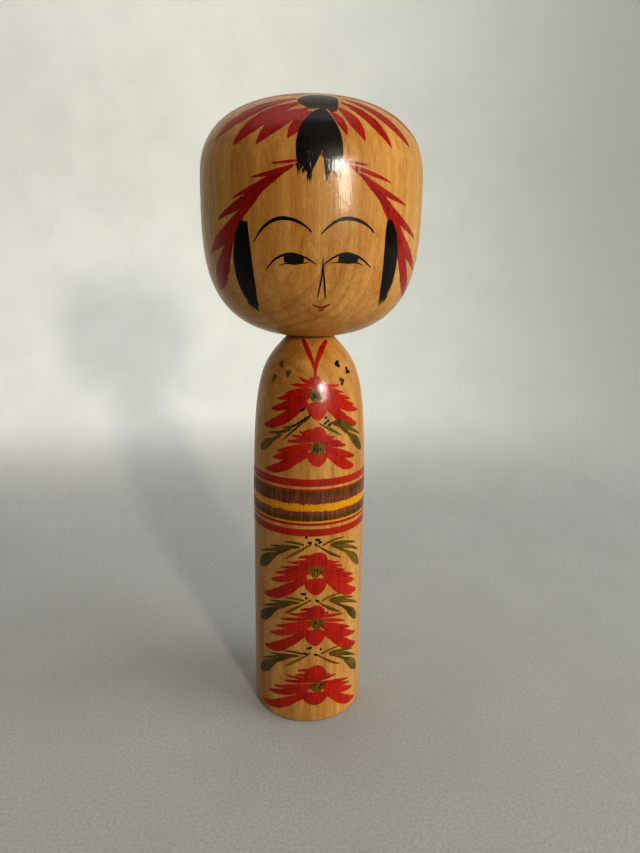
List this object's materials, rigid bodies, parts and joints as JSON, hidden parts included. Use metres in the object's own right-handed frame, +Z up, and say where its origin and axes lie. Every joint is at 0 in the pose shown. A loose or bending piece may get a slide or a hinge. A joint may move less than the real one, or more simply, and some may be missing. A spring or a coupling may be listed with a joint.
{
  "type": "kokeshi doll",
  "caption": "Turned wooden doll with a rounded painted head that plugs into a slim cylindrical body and can be turned round on it.",
  "frame": {"origin": "centre of the flat base, on the surface that the doll stands on", "axes": "+Z up along the turning axis, -Y the way the painted face looks, +X to the left hand of the doll"},
  "size_m": [0.0812, 0.0812, 0.2424],
  "materials": {
    "head_wood": "satin",
    "body_wood": "satin",
    "red_paint": "satin",
    "black_paint": "satin",
    "green_paint": "satin",
    "purple_paint": "satin",
    "yellow_paint": "satin"
  },
  "bodies": {
    "body": {"body": "body_wood"},
    "head": {"head": "head_wood"}
  },
  "joints": [
    {"name": "head_turn", "type": "hinge", "parent": "body", "child": "head", "pos_m": [0, 0, 0.15905], "axis": [0, 0, 1], "continuous": true}
  ]
}
